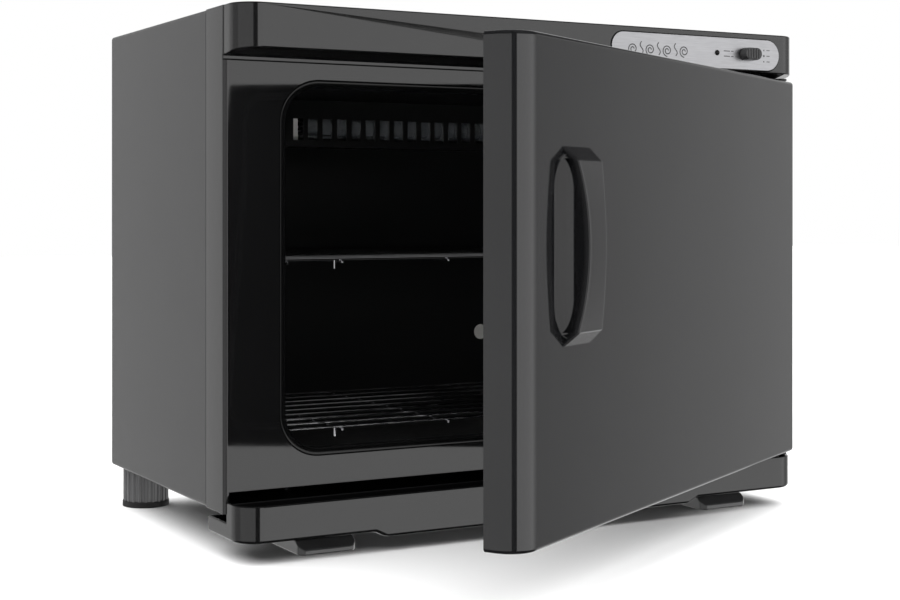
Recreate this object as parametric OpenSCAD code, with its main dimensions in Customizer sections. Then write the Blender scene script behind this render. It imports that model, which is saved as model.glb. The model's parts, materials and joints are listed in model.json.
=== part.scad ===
// Counter-top hot towel cabinet with a side-hinged door, two wire racks, a drip tray,
// a floor heater and a sterilising lamp.
// Millimetres. +Z is up, +Y points into the cabinet from the front, +X is the hinge side.
// The origin lies on the counter, under the middle of the body.

/* [Body] */
// Width of the body
body_w = 450; // [420:1:480]
// Depth of the body, from the front of the fascia to the back panel
body_d = 257; // [250:1:290]
// Height of the top of the body above the counter
body_top = 351.5; // [345:0.5:360]
// Height of the underside of the casing above the counter
body_bottom = 29; // [28:0.5:30]
// Thickness of the steel sheet
sheet_t = 1; // [0.8:0.1:1.2]
// Depth at which the steel casing starts behind the moulded front
seam_depth = 57; // [50:1:65]

/* [Moulded front] */
// How far the door frame sits behind the front of the fascia
recess = 25; // [24.5:0.5:26]
// Wall thickness of the moulded plastic parts
wall = 3; // [2.5:0.1:3.5]
// Radius of the upright front corners of the fascia and the tray
corner_r = 17; // [14:0.5:20]
// Height of the front lower edge of the fascia
fascia_edge_z = 323; // [322:0.5:326]
// Height of the fascia's underside where it meets the frame
fascia_back_z = 319.9; // [319.6:0.1:320]
// Height of the top of the recessed face
face_top = 317; // [316:0.5:317.5]
// Height of the bottom of the recessed face
face_bottom = 42.6; // [42:0.1:44]

/* [Chamber] */
// Half width of the round-cornered door opening
opening_half_w = 186.7; // [180:0.1:188]
// Height of the bottom edge of the opening
opening_bottom = 62.2; // [62:0.1:66]
// Height of the top edge of the opening
opening_top = 305.7; // [300:0.1:306]
// Corner radius of the opening
opening_r = 28; // [20:1:34]
// Width of the black trim ring around the opening
trim_w = 4.5; // [3:0.5:6]
// Depth of the chamber's back wall
chamber_back = 227; // [215:1:228]
// Height of the upper rack's top wires
upper_rack_z = 190.2; // [180:0.1:200]
// Height of the lower rack's top wires
lower_rack_z = 79.1; // [78:0.1:84]

/* [Door] */
// Angle at which the door stands open
door_open = 30.3; // [0:0.1:100]
// Height of the bottom of the door
door_bottom = 40; // [39.8:0.1:41]
// Height of the top of the door
door_top = 317.4; // [316:0.1:317.4]
// Thickness of the door
door_t = 24; // [22:0.5:24]
// Gap from the side of the body to the door's free edge when shut
free_edge_gap = 9; // [4:0.5:12]
// Radius of the round hinge edge of the door, whose centre is the hinge line
heel_r = 9.6; // [9:0.1:9.6]
// Distance of the hinge line from the side of the body
hinge_inset = 10.5; // [10:0.1:12]

/* [Handle] */
// Distance of the handle's middle from the hinge line
handle_reach = 367; // [340:1:370]
// Height of the handle's middle
handle_z = 202; // [180:1:220]
// Length of the handle
handle_l = 110; // [108:1:120]
// Width of the strap at its ends
handle_end_w = 34; // [28:1:38]
// Width of the strap at its waist
handle_waist_w = 21; // [16:1:28]
// How far the strap stands out from the door
handle_h = 14; // [12:0.5:18]

/* [Drip tray] */
// Width of the tray
tray_w = 447; // [430:1:448]
// Height of the tray's front edge
tray_top = 37; // [36:0.5:37]
// Height of the bottom of the tray at its middle
tray_low_z = 9.5; // [8:0.5:12]
// Height of the bottom of the tray at its ends
tray_end_z = 13.4; // [13:0.1:15]

/* [Controls] */
// Distance of the selector knob from the middle of the body
knob_x = 175.5; // [170:0.5:180]
// Height of the knob and the indicator above the counter
control_z = 335.9; // [335:0.1:337]

/* [Hidden] */
front = -body_d / 2;
half_w = body_w / 2;
hinge_x = half_w - hinge_inset;
hinge_y = front + heel_r;
liner_half_w = opening_half_w - 3.3;
liner_bottom = opening_bottom;
liner_top = opening_top - 2.3;
liner_r = 6;
collar_d = 9;
liner_front = recess + collar_d + 0.2;
foam_t = 12;
rack_wire_r = 1.1;
rack_front = recess + 13;
rack_half_w = liner_half_w - 2.5;
rack_back = chamber_back - 5;
pin_r = 2.5;
bush_bore_r = pin_r + 0.05;
bush_r = 4;
bush_l = 13;
bracket_t = 1.5;
lower_plate_z = tray_top + 0.6;
upper_plate_z = fascia_back_z - bracket_t;
door_h = door_top - door_bottom;
door_left = free_edge_gap - half_w;
dish_w = 58.6;
dish_h = 102;
dish_depth = 9;
dish_shift = 3;
handle_x = hinge_x - handle_reach;
panel_t = 3;
free_edge_r = 17;
strap_t = 4.4;
strap_bend = 0.86;
strap_end_drop = 0.5;
strap_bow = 0.46;
tenon_z = dish_h / 2 + 2.2;
tenon_t = 2.8;
lamp_y = front + 190;
lamp_z = liner_top - 20;
lamp_l = 212;
front_foot_x = [-157, 166];
pan_z = body_bottom + sheet_t;
rear_foot_x = half_w - 21;
rear_foot_y = front + 239;
rail_x = 105;
plate_left = 54;
plate_right = 205;
plate_h = 22.5;
led_x = 147;
screw_r = 1.5;
head_r = 3;
$fn = 48;

// Y of a plane that lies d behind the front of the fascia
function behind(d) = front + d;

// Points on an arc, ends included
function arc(cx, cy, r, from, to, steps = 12) =
    [for (i = [0:steps]) let (a = from + (to - from) * i / steps) [cx + r * cos(a), cy + r * sin(a)]];

// Rounded rectangle between two heights, seen from the front
module front_outline(half, low, high, r) {
    for (sx = [-1, 1])
        for (z = [low + r, high - r])
            translate([sx * (half - r), z]) circle(r = r);
    translate([-half, low + r]) square([2 * half, high - low - 2 * r]);
    translate([r - half, low]) square([2 * (half - r), high - low]);
}

// Extrudes a front view from depth a back to depth b
module through(a, b) {
    translate([0, behind(b), 0]) rotate([90, 0, 0]) linear_extrude(b - a) children();
}

// Box given by its corners in X, depth and Z
module block(x0, x1, d0, d1, z0, z1) {
    translate([x0, behind(d0), z0]) cube([x1 - x0, d1 - d0, z1 - z0]);
}

// Straight rod between depths d0 and d1
module rod_y(x, d0, d1, z, r) {
    translate([x, behind(d0), z]) rotate([-90, 0, 0]) cylinder(r = r, h = d1 - d0);
}

// Straight rod along X
module rod_x(x0, x1, d, z, r) {
    translate([x0, behind(d), z]) rotate([0, 90, 0]) cylinder(r = r, h = x1 - x0);
}

// Turns the shut door about its hinge line
module door_pose() {
    translate([hinge_x, hinge_y, 0])
        rotate([0, 0, door_open])
            translate([-hinge_x, -hinge_y, 0]) children();
}

// ---- body shell ----

module outer_casing() color("#646464") {
    r = 2.5;
    difference() {
        through(seam_depth, body_d - sheet_t)
            difference() {
                front_outline(half_w, body_bottom, body_top, r);
                front_outline(half_w - sheet_t, body_bottom + sheet_t, body_top - sheet_t, r - sheet_t);
            }
        block(18 - half_w, half_w - 18, seam_depth - 1, body_d, body_bottom - 1,
            body_bottom + sheet_t + 0.01);
    }
}

module back_panel() color("#3a3a3c") {
    difference() {
        block(1 - half_w, half_w - 1, body_d - sheet_t, body_d, body_bottom + 1, body_top - 1);
        for (row = [0:7])
            for (sx = [-1, 1])
                translate([sx * 95 - 45, behind(body_d - sheet_t - 1), 250 + row * 9])
                    cube([90, sheet_t + 2, 3.2]);
        rod_y(-170, body_d - 2, body_d + 1, 62, 8);
        at_back_screws() rod_y(0, body_d - 2, body_d + 1, 0, screw_r + 0.1);
    }
}

module at_back_screws() {
    for (x = [-214, 0, 214])
        for (z = [body_bottom + 12, body_top - 12])
            translate([x, 0, z]) children();
    for (x = [-214, 214])
        translate([x, 0, 190]) children();
}

module back_screws() color("silver") {
    at_back_screws() {
        rod_y(0, body_d, body_d + 1.8, 0, head_r);
        rod_y(0, body_d - 6, body_d + 0.5, 0, screw_r);
    }
}

module bottom_pan() color("#4a4a4c") {
    edge = half_w - 4;
    difference() {
        union() {
            block(-edge, edge, seam_depth - 12, body_d - sheet_t, pan_z, pan_z + sheet_t);
            for (sx = [-1, 1])
                translate([sx * (edge - sheet_t / 2), 0, 0])
                    block(-sheet_t / 2, sheet_t / 2, seam_depth + 4, body_d - 12, pan_z, pan_z + 12);
        }
        at_foot_screws() translate([0, 0, pan_z - 1]) cylinder(r = 2.1, h = 4);
    }
}

// ---- moulded front ----

// Half outline of the frame seen from above, mirrored onto both sides
module frame_plan() {
    r = 2.5;
    right = concat(
        arc(half_w - r, recess + r, r, -90, 0, 6),
        [[half_w, seam_depth]]
    );
    left = [for (i = [len(right) - 1:-1:0]) [-right[i][0], right[i][1]]];
    translate([0, front]) polygon(concat(right, left));
}

module frame_hollow() {
    block(wall - half_w + 1, half_w - wall - 1, recess + wall, seam_depth + 1,
        face_bottom + wall, body_top - wall);
    block(wall - half_w + 1, half_w - wall - 1, recess - 1, seam_depth + 1, body_bottom - 1, face_bottom);
}

module front_frame() color("#565658") {
    difference() {
        union() {
            difference() {
                translate([0, 0, body_bottom]) linear_extrude(body_top - body_bottom) frame_plan();
                frame_hollow();
            }
            through(recess + wall, recess + collar_d)
                difference() {
                    front_outline(opening_half_w + 2.5, opening_bottom - 2.5,
                        opening_top + 2.5, opening_r + 2.5);
                    front_outline(opening_half_w, opening_bottom, opening_top, opening_r);
                }
        }
        through(recess - 1, recess + collar_d + 1)
            front_outline(opening_half_w, opening_bottom, opening_top, opening_r);
        // shadow groove under the fascia
        block(-half_w, half_w, recess - 1, recess + 2, face_top, fascia_back_z);
        // window behind the controls for the switch and its wires
        block(130, 200, recess - 1, recess + wall + 1, 327, 346);
        // slot and notch for the two hinge brackets
        block(hinge_x - 12, hinge_x + 6, recess - 1, recess + 6, upper_plate_z, fascia_back_z);
        block(hinge_x - 12, hinge_x + 6, recess + wall - 0.05, recess + 6, face_bottom - 1,
            face_bottom + wall + 1);
        at_hinge_screws() {
            rod_y(0, recess - 1, recess + wall + 1, 0, 1.6);
            rod_y(0, recess - 1, recess + 1.5, 0, head_r + 0.1);
        }
    }
}

module fascia_plan(inset) {
    r = corner_r - inset;
    cy = corner_r;
    right = concat(
        arc(half_w - corner_r, cy, r, -90, 0, 16),
        [[half_w - inset, recess]]
    );
    left = [for (i = [len(right) - 1:-1:0]) [-right[i][0], right[i][1]]];
    translate([0, front]) polygon(concat(right, left));
}

module fascia_underside() {
    drop = fascia_edge_z - fascia_back_z;
    translate([-half_w - 1, front, 0])
        rotate([90, 0, 90])
            linear_extrude(body_w + 2)
                polygon([
                    [-1, fascia_back_z - 1], [recess + 1, fascia_back_z - 1],
                    [recess + 1, fascia_back_z - drop / recess],
                    [-1, fascia_edge_z + drop / recess]
                ]);
}

module top_fascia() color("#565658") {
    difference() {
        translate([0, 0, fascia_back_z]) linear_extrude(body_top - fascia_back_z) fascia_plan(0);
        fascia_underside();
        difference() {
            translate([0, 0, fascia_edge_z + wall])
                linear_extrude(body_top - fascia_edge_z - 2 * wall) fascia_plan(wall);
            block(half_w - 26, half_w, 0, recess, fascia_edge_z, body_top);
        }
        block(plate_left + 10, plate_right - 10, wall + 1, recess + 1,
            fascia_edge_z + wall, body_top - wall);
        rod_y(knob_x, -1, wall + 2, control_z, 3.6);
        rod_y(led_x, -1, wall + 2, control_z, 2.1);
        through(-1, 0.3) plate_outline(0);
    }
}

module opening_trim() color("#121214") {
    through(recess - 0.1, liner_front)
        difference() {
            front_outline(opening_half_w, opening_bottom, opening_top, opening_r);
            front_outline(opening_half_w - trim_w, opening_bottom + trim_w,
                opening_top - trim_w, opening_r - trim_w);
        }
}

// ---- chamber ----

module liner_outline(grow) {
    front_outline(liner_half_w + grow, liner_bottom - grow, liner_top + grow, liner_r + grow);
}

module inner_liner() color("#2a2a2c") {
    through(liner_front, chamber_back)
        difference() {
            liner_outline(sheet_t);
            liner_outline(0);
        }
    difference() {
        through(chamber_back, chamber_back + sheet_t) liner_outline(sheet_t);
        at_thermostat() rod_y(0, chamber_back - 1, chamber_back + 3, 0, 6.1);
    }
    // front lip, seated on the frame's collar
    through(liner_front, liner_front + sheet_t)
        difference() {
            front_outline(opening_half_w + 6, opening_bottom - 6, opening_top + 6, liner_r);
            liner_outline(0.5);
        }
}

module body_insulation() color("#d9c36a") {
    gap = 0.3;
    difference() {
        through(liner_front + 2, chamber_back + foam_t)
            liner_outline(sheet_t + foam_t);
        through(liner_front + 1, chamber_back + sheet_t + gap) liner_outline(sheet_t + gap);
        block(-152, 152, 60, 200, liner_bottom - 4, liner_bottom);
        at_thermostat() rod_y(0, chamber_back, chamber_back + foam_t + 1, 0, 13);
        block(-140, -100, chamber_back, chamber_back + foam_t + 1, 170, 190);
        block(-12, 12, 100, 130, liner_bottom - 14, liner_bottom);
    }
}

module rack(z) {
    long_z = z - 3 * rack_wire_r;
    top_z = z - rack_wire_r;
    steps = 8;
    pitch = (rack_back - rack_front) / steps;
    for (i = [0:steps])
        rod_x(-rack_half_w, rack_half_w, rack_front + i * pitch, top_z, rack_wire_r);
    for (x = [-137, -56.5, 56.5, 137])
        rod_y(x, rack_front - 3, rack_back + 2, long_z + 0.1, rack_wire_r);
    for (x = [4 - rack_half_w, rack_half_w - 4])
        rod_y(x, rack_front - 3, rack_back + 2, long_z + 0.1, rack_wire_r + 0.3);
    for (x = [-142, 142])
        for (d = [rack_front, rack_back])
            translate([x, behind(d), z - 8]) cylinder(r = rack_wire_r, h = 7);
}

module upper_rack() color("#e8e8ea") rack(upper_rack_z);

module lower_rack() color("#e8e8ea") rack(lower_rack_z);

module rack_supports() color("#b8b8bc") {
    for (z = [upper_rack_z, lower_rack_z])
        for (d = [rack_front + 22, rack_back - 22])
            for (sx = [-1, 1]) {
                peg_z = z - 3 * rack_wire_r - rack_wire_r - 0.2 - 2.5;
                rod_x(sx > 0 ? liner_half_w - 10 : -liner_half_w,
                    sx > 0 ? liner_half_w : 10 - liner_half_w, d, peg_z, 2.5);
                rod_x(sx > 0 ? liner_half_w - 11.5 : 10 - liner_half_w,
                    sx > 0 ? liner_half_w - 10 : 11.5 - liner_half_w, d, peg_z, 3.6);
            }
}

// ---- heating and lamp ----

module heater_plate() color("#a8552c") {
    top = liner_bottom - sheet_t;
    block(-150, 150, 62, 198, top - 2, top);
    for (x = [-8, 8])
        block(x - 2, x + 2, 102, 112, top - 12, top - 2);
}

module at_thermostat() {
    translate([80, 0, 120]) children();
}

module thermostat() color("#e6e6e0") {
    at_thermostat() {
        rod_y(0, chamber_back + sheet_t, chamber_back + 6, 0, 12);
        rod_y(0, chamber_back - 0.5, chamber_back + 2, 0, 6);
        rod_y(0, chamber_back + 5.5, chamber_back + 11, 0, 8);
        for (x = [-4, 4])
            translate([x - 1.5, behind(chamber_back + 11), -3]) cube([3, 7, 0.8]);
    }
}

module thermal_fuse() color("#d8d8dc") {
    y = chamber_back + 4;
    rod_x(-130, -110, y, 180, 2.4);
    for (x = [-137, -110])
        rod_x(x, x + 7, y, 180, 0.7);
    block(-124, -116, chamber_back + sheet_t, chamber_back + 7, 177.2, 177.9);
}

module uv_lamp() color("#dfe6f2") {
    translate([0, lamp_y, lamp_z]) rotate([0, 90, 0]) {
        cylinder(r = 7.9, h = lamp_l, center = true);
        for (s = [-1, 1])
            for (o = [-2.4, 2.4])
                translate([o, 0, s * (lamp_l / 2 + 3)]) cylinder(r = 1.1, h = 6.2, center = true);
    }
}

module lamp_holders() color("#f0f0ee") {
    for (s = [-1, 1])
        translate([s * (lamp_l / 2 + 7.2), lamp_y, 0])
            difference() {
                translate([-7, -11, lamp_z - 11]) cube([14, 22, liner_top - lamp_z + 11]);
                translate([-s * 6, 0, lamp_z]) rotate([0, 90, 0]) cylinder(r = 8.2, h = 4, center = true);
                for (o = [-2.4, 2.4])
                    translate([-s * 3, 0, lamp_z + o]) rotate([0, 90, 0]) cylinder(r = 1.2,
                        h = 8, center = true);
            }
}

module lamp_guard() color("#c9c9cd") {
    guard_l = lamp_l + 34;
    low = lamp_z - 15;
    difference() {
        translate([-guard_l / 2, lamp_y - 16, low]) cube([guard_l, 32, liner_top - low]);
        translate([-guard_l / 2 - 1, lamp_y - 15, low + 1]) cube([guard_l + 2, 30, liner_top - low]);
        for (i = [-9:9])
            translate([i * 12 - 4, lamp_y - 12, low - 1]) cube([8, 24, 3]);
        for (i = [-9:9])
            translate([i * 12 - 4, lamp_y - 17, low + 5]) cube([8, 34, 16]);
    }
}

module lamp_ballast() color("#cfd2d6") {
    z0 = liner_top + sheet_t + foam_t;
    block(-60, 40, 110, 146, z0, z0 + 24);
    block(-72, 52, 112, 144, z0, z0 + 1.5);
}

module terminal_block() color("#efece2") {
    back = body_d - sheet_t;
    difference() {
        block(-150, -100, back - 13, back, 92, 112);
        for (i = [0:3])
            rod_y(-144 + i * 12.5, back - 14, back - 6, 102, 3);
    }
}

module wiring_loom() color("#a83232") {
    z = control_z + 1;
    y = body_d - 10;
    rod_y(150, recess + 0.5, y, z, 2.5);
    translate([150, behind(y), z]) sphere(r = 2.5);
    rod_x(-125, 150, y, z, 2.5);
    translate([-125, behind(y), z]) sphere(r = 2.5);
    translate([-125, behind(y), 112]) cylinder(r = 2.5, h = z - 112);
    rod_x(-166, -150, y, 100, 2.5);
    translate([-166, behind(y), 100]) sphere(r = 2.5);
    translate([-166, behind(y), 76]) cylinder(r = 2.5, h = 24);
}

module cable_gland() color("#1a1a1a") {
    x = -170;
    z = 62;
    difference() {
        union() {
            rod_y(x, body_d, body_d + 4, z, 11);
            rod_y(x, body_d - 6, body_d + 1, z, 7.9);
            rod_y(x, body_d + 4, body_d + 12, z, 8);
            translate([x, behind(body_d - 5), z]) rotate([-90, 0, 0]) cylinder(r = 11, h = 4, $fn = 6);
        }
        rod_y(x, body_d - 7, body_d + 13, z, 4);
    }
}

// ---- controls ----

module plate_outline(inset) {
    r_right = plate_h / 2 - inset;
    r_left = 10 - inset;
    low = control_z - r_right;
    high = control_z + r_right;
    translate([plate_right - plate_h / 2, control_z]) circle(r = r_right);
    for (z = [low + r_left, high - r_left])
        translate([plate_left + 10, z]) circle(r = r_left);
    translate([plate_left + 10, low]) square([plate_right - plate_left - 10 - plate_h / 2, high - low]);
    translate([plate_left + inset, low + r_left]) square([r_left, high - low - 2 * r_left]);
}

module control_plate() color("#c4c4c8") {
    difference() {
        through(-0.6, 0.3) plate_outline(0);
        rod_y(knob_x, -1, 1, control_z, 3.2);
        rod_y(led_x, -1, 1, control_z, 1.7);
    }
}

module knob_turned() {
    translate([knob_x, 0, control_z]) children();
}

module selector_knob() color("#2e2e30") {
    knob_turned()
        difference() {
            union() {
                rod_y(0, -2.4, -0.9, 0, 4.6);
                through(-8.4, -2.4) {
                    for (x = [-3.4, 3.4]) translate([x, 0]) circle(r = 4.5);
                    translate([-3.4, -4.5]) square([6.8, 9]);
                }
            }
            rod_y(0, -6.5, 0, 0, 2);
            for (i = [-2:2])
                translate([i * 2.4 - 0.4, front - 8.6, -5]) cube([0.8, 0.7, 10]);
        }
}

module switch_shaft() color("#d0d0d4") {
    knob_turned() {
        rod_y(0, -6.5, 10, 0, 2);
        rod_y(0, 7.5, 9, 0, 4);
    }
}

module switch_body() color("#1d1d1f") {
    knob_turned()
        difference() {
            union() {
                block(-9, 9, 5, 17, -8, 8);
                rod_y(0, 3, 5, 0, 3.5);
                for (x = [-5, 0, 5])
                    block(x - 1.2, x + 1.2, 17, 22, -0.5, 0.5);
            }
            rod_y(0, 2, 10.1, 0, 2.05);
            rod_y(0, 7.4, 9.1, 0, 4.1);
        }
}

module indicator_lamp() color("#151515") {
    translate([led_x, 0, control_z]) {
        rod_y(0, -0.9, 9, 0, 1.6);
        rod_y(0, 6, 9, 0, 2.6);
        translate([0, behind(-0.9), 0]) sphere(r = 1.6);
        for (x = [-1.2, 1.2])
            rod_y(x, 9, 16, 0, 0.4);
    }
}

// ---- drip tray ----

module tray_plan(inset) {
    back = seam_depth - inset;
    w = tray_w / 2;
    right = concat(arc(w - corner_r, corner_r, corner_r - inset, -90, 0, 16), [[w - inset, back]]);
    left = [for (i = [len(right) - 1:-1:0]) [-right[i][0], right[i][1]]];
    translate([0, front]) polygon(concat(right, left));
}

// Front view of the tray, stepped down between the feet
module tray_elevation(lift, inset) {
    w = tray_w / 2 + 1;
    step_in = 122 - inset;
    step_out = 130 - inset;
    polygon([
        [-w, tray_top + 5], [w, tray_top + 5], [w, tray_end_z + lift], [step_out, tray_end_z + lift],
        [step_in, tray_low_z + lift], [-step_in, tray_low_z + lift],
        [-step_out, tray_end_z + lift], [-w, tray_end_z + lift]
    ]);
}

module drip_tray() color("#4e4e50") {
    tray_wall = 2.2;
    arm_top = 23.7;
    tongue_back = 126;
    difference() {
        intersection() {
            translate([0, 0, tray_low_z - 1]) linear_extrude(tray_top - tray_low_z + 1) tray_plan(0);
            through(-1, seam_depth + 1) tray_elevation(0, 0);
        }
        intersection() {
            translate([0, 0, tray_low_z - 1]) linear_extrude(tray_top) tray_plan(tray_wall);
            through(-1, seam_depth + 1) tray_elevation(2, 1);
        }
        block(-half_w, half_w, recess, seam_depth + 1, arm_top, tray_top + 1);
    }
    // back wall of the trough
    intersection() {
        translate([0, 0, tray_low_z]) linear_extrude(tray_top - tray_low_z - 1) tray_plan(1);
        through(recess - tray_wall, recess) tray_elevation(1, 0);
    }
    for (sx = [-1, 1])
        translate([sx * rail_x, 0, 0])
            block(-8, 8, seam_depth - 1, tongue_back, 20.5, 22.5);
}

module tray_rails() color("#8a8a8e") {
    for (sx = [-1, 1])
        translate([sx * rail_x, 0, 0])
            difference() {
                block(-11, 11, seam_depth + 3, seam_depth + 75, 18.4, pan_z);
                block(-8.4, 8.4, seam_depth + 2, seam_depth + 72, 20.2, 22.9);
                block(-5, 5, seam_depth + 2, seam_depth + 72, 18, 21);
            }
}

// ---- feet ----

module at_foot_screws() {
    for (x = front_foot_x)
        translate([x, behind(82), 0]) children();
    for (sx = [-1, 1])
        translate([sx * rear_foot_x, rear_foot_y, 0]) children();
}

// Side view of a front foot: a low toe under the tray and a heel up to the pan
module front_feet() color("#3c3c3e") {
    toe = 14;
    for (x = front_foot_x)
        difference() {
            translate([x - 20.5, front, 0])
                rotate([90, 0, 90])
                    linear_extrude(41)
                        polygon([
                            [toe, 0], [toe, 3.6], [toe + 7, 9], [66, 9], [66, pan_z],
                            [100, pan_z], [106, 9], [106, 0]
                        ]);
            for (s = [-1, 1])
                translate([x + s * 20.5, behind(toe), -1])
                    rotate([0, 0, 45]) cube([5, 5, 40], center = true);
            translate([x, behind(82), -1]) cylinder(r = 4.2, h = 22);
            translate([x, behind(82), -1]) cylinder(r = 2.1, h = 40);
        }
}

module rear_feet() color("#3c3c3e") {
    for (sx = [-1, 1])
        translate([sx * rear_foot_x, rear_foot_y, 0])
            difference() {
                union() {
                    translate([0, 0, 4]) cylinder(r = 15.6, h = body_bottom - 4);
                    for (i = [0:19])
                        rotate([0, 0, i * 18]) translate([15.2, 0, 4]) cylinder(r = 1.5,
                            h = body_bottom - 5, $fn = 24);
                }
                translate([0, 0, 4 - 1]) cylinder(r = 5, h = 18);
                cylinder(r = 2.1, h = 40);
            }
}

module rear_foot_pads() color("#1c1c1c") {
    for (sx = [-1, 1])
        translate([sx * rear_foot_x, rear_foot_y, 0])
            difference() {
                cylinder(r = 17.2, h = 4);
                translate([0, 0, -1]) cylinder(r = 5, h = 6);
            }
}

module foot_screws() color("silver") {
    at_foot_screws() {
        translate([0, 0, 21 - 2.6]) cylinder(r = 3.8, h = 2.6);
        translate([0, 0, 20]) cylinder(r = 2, h = body_bottom - 12);
    }
}

// ---- door ----

// Door outline from above, shut, with its rounded free edge and its round hinge edge
module door_plan(inset) {
    back = door_t;
    heel = heel_r - inset;
    last = 90 - acos(heel / (back - heel_r));
    points = concat(
        [[door_left + inset, back]],
        arc(door_left + free_edge_r, free_edge_r, free_edge_r - inset, 180, 270, 14),
        arc(hinge_x, heel_r, heel, -90, last, 14),
        [[hinge_x, back]]
    );
    translate([0, front]) polygon(points);
}

module dish_outline(grow) {
    translate([handle_x + dish_shift, 0])
        front_outline(dish_w / 2 + grow, handle_z - dish_h / 2 - grow,
            handle_z + dish_h / 2 + grow, 20 + grow);
}

module door_shell_shut() {
    shell = 2.5;
    difference() {
        union() {
            difference() {
                translate([0, 0, door_bottom]) linear_extrude(door_h) door_plan(0);
                translate([0, 0, door_bottom + shell]) linear_extrude(door_h - 2 * shell)
                    intersection() {
                        door_plan(shell);
                        translate([door_left, front]) square([hinge_x - door_left - 8, door_t + 1]);
                    }
                block(door_left + shell + 0.1, hinge_x - 8, door_t - panel_t - 0.5, door_t + 1,
                    door_bottom + shell, door_top - shell);
            }
            through(0, dish_depth + 2) dish_outline(2);
        }
        through(-1, dish_depth) dish_outline(0);
        at_hinge_ends() cylinder(r = bush_r, h = 2 * bush_l, center = true);
        for (s = [-1, 1])
            block(handle_x - 12.1, handle_x + 12.1, -1, 7,
                handle_z + s * tenon_z - tenon_t / 2 - 0.1, handle_z + s * tenon_z + tenon_t / 2 + 0.1);
    }
}

module at_hinge_ends() {
    for (z = [door_bottom, door_top])
        translate([hinge_x, hinge_y, z]) children();
}

module door_shell() color("#4d4e50") door_pose() door_shell_shut();

module gasket_ring(half, low, high) {
    difference() {
        front_outline(half, low, high, 26);
        front_outline(half - 6, low + 6, high - 6, 20);
    }
}

module door_inner_panel_shut() {
    difference() {
        block(door_left + 2.7, hinge_x - 8.2, door_t - panel_t, door_t, door_bottom + 2.7, door_top - 2.7);
        through(door_t - 1.5, door_t + 1) gasket_ring(199, door_bottom + 12, door_top - 6);
    }
}

module door_inner_panel() color("#0e0e10") door_pose() door_inner_panel_shut();

module door_insulation() color("#e7e3d4") door_pose()
    difference() {
        block(door_left + 20, hinge_x - 12, 3, door_t - panel_t - 0.2, door_bottom + 8, door_top - 8);
        through(0, door_t) dish_outline(3);
        through(2, 8)
            translate([handle_x, 0]) front_outline(14, handle_z - 62, handle_z + 62, 4);
        block(-213, -186, 6, door_t, 160, 198);
    }

module door_gasket() color("#1a1a1c") door_pose()
    through(door_t - 1.5, door_t + 0.6) gasket_ring(199, door_bottom + 12, door_top - 6);

// Height of the strap over the door, at s of the way from its middle to its end
function strap_out(s) =
    handle_h * (1 - strap_bow * s * s - strap_end_drop * max(0, s - strap_bend) / (1 - strap_bend));

// Strap seen from the side, bowed between its two sloping ends
module strap_side() {
    half = handle_l / 2;
    steps = 25;
    stations = [for (i = [-steps:steps]) i / steps];
    outer = [for (s = stations) [-strap_out(abs(s)), s * half]];
    inner = [for (s = stations) [-max(0, strap_out(abs(s)) - strap_t), s * half]];
    polygon(concat(outer, [for (i = [len(inner) - 1:-1:0]) inner[i]]));
}

// Strap seen from the front, waisted between its ends
module strap_front() {
    half = handle_l / 2 + 1;
    steps = 16;
    edge = [for (i = [-steps:steps]) let (s = i / steps)
        [(handle_waist_w + (handle_end_w - handle_waist_w) * pow(abs(s), 2.4)) / 2, s * half]];
    polygon(concat(edge, [for (i = [len(edge) - 1:-1:0]) [-edge[i][0], edge[i][1]]]));
}

module door_handle_shut() {
    translate([handle_x, 0, handle_z]) {
        intersection() {
            translate([-handle_end_w / 2, front, 0])
                rotate([90, 0, 90])
                    linear_extrude(handle_end_w) strap_side();
            through(-handle_h - 1, 1) strap_front();
        }
        for (s = [-1, 1])
            block(-12, 12, -0.5, 6, s * tenon_z - tenon_t / 2, s * tenon_z + tenon_t / 2);
    }
}

module door_handle() color("#3e3f41") door_pose() door_handle_shut();

// ---- hinge and catch ----

module hinge_bushes() color("#18181a") door_pose()
    difference() {
        union() {
            translate([hinge_x, hinge_y, door_bottom]) cylinder(r = bush_r, h = bush_l);
            translate([hinge_x, hinge_y, door_top - bush_l]) cylinder(r = bush_r, h = bush_l);
        }
        translate([hinge_x, hinge_y, door_bottom - 1]) cylinder(r = bush_bore_r, h = door_h + 2);
    }

module bracket(plate_z, flange_low, flange_high) {
    x0 = hinge_x - 11;
    x1 = hinge_x + 5;
    difference() {
        union() {
            block(x0, x1, heel_r, recess + wall + bracket_t, plate_z, plate_z + bracket_t);
            translate([hinge_x, hinge_y, plate_z]) cylinder(r = 5, h = bracket_t);
            block(x0, x1, recess + wall, recess + wall + bracket_t, flange_low, flange_high);
        }
        translate([hinge_x, hinge_y, plate_z - 1]) cylinder(r = pin_r, h = 4);
        at_hinge_screws() rod_y(0, recess, recess + 8, 0, 1.45);
    }
}

module upper_hinge_bracket() color("#1c1c1e") bracket(upper_plate_z, 288, upper_plate_z + 1);

module lower_hinge_bracket() color("#1c1c1e") bracket(lower_plate_z, lower_plate_z + 0.5, 72);

module hinge_pins() color("#c8c8cc") {
    translate([hinge_x, hinge_y, lower_plate_z]) cylinder(r = pin_r, h = door_bottom + 12 - lower_plate_z);
    translate([hinge_x, hinge_y, door_top - 12]) cylinder(r = pin_r,
        h = upper_plate_z + bracket_t - door_top + 12);
}

module at_hinge_screws() {
    for (z = [294, 306, 54, 66])
        translate([hinge_x - 3, 0, z]) children();
}

module hinge_screws() color("silver") {
    at_hinge_screws() {
        rod_y(0, recess + 0.1, recess + 1.5, 0, head_r);
        rod_y(0, recess + 1.4, recess + 8, 0, 1.45);
    }
}

module magnet_catch() color("#5a5a5e") {
    block(-212, -196, recess + wall, recess + wall + 8, 164, 194);
}

module magnet_striker() color("#9a9a9e") door_pose()
    block(-211, -190, door_t - panel_t - 1.7, door_t - panel_t, 162, 196);

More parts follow.
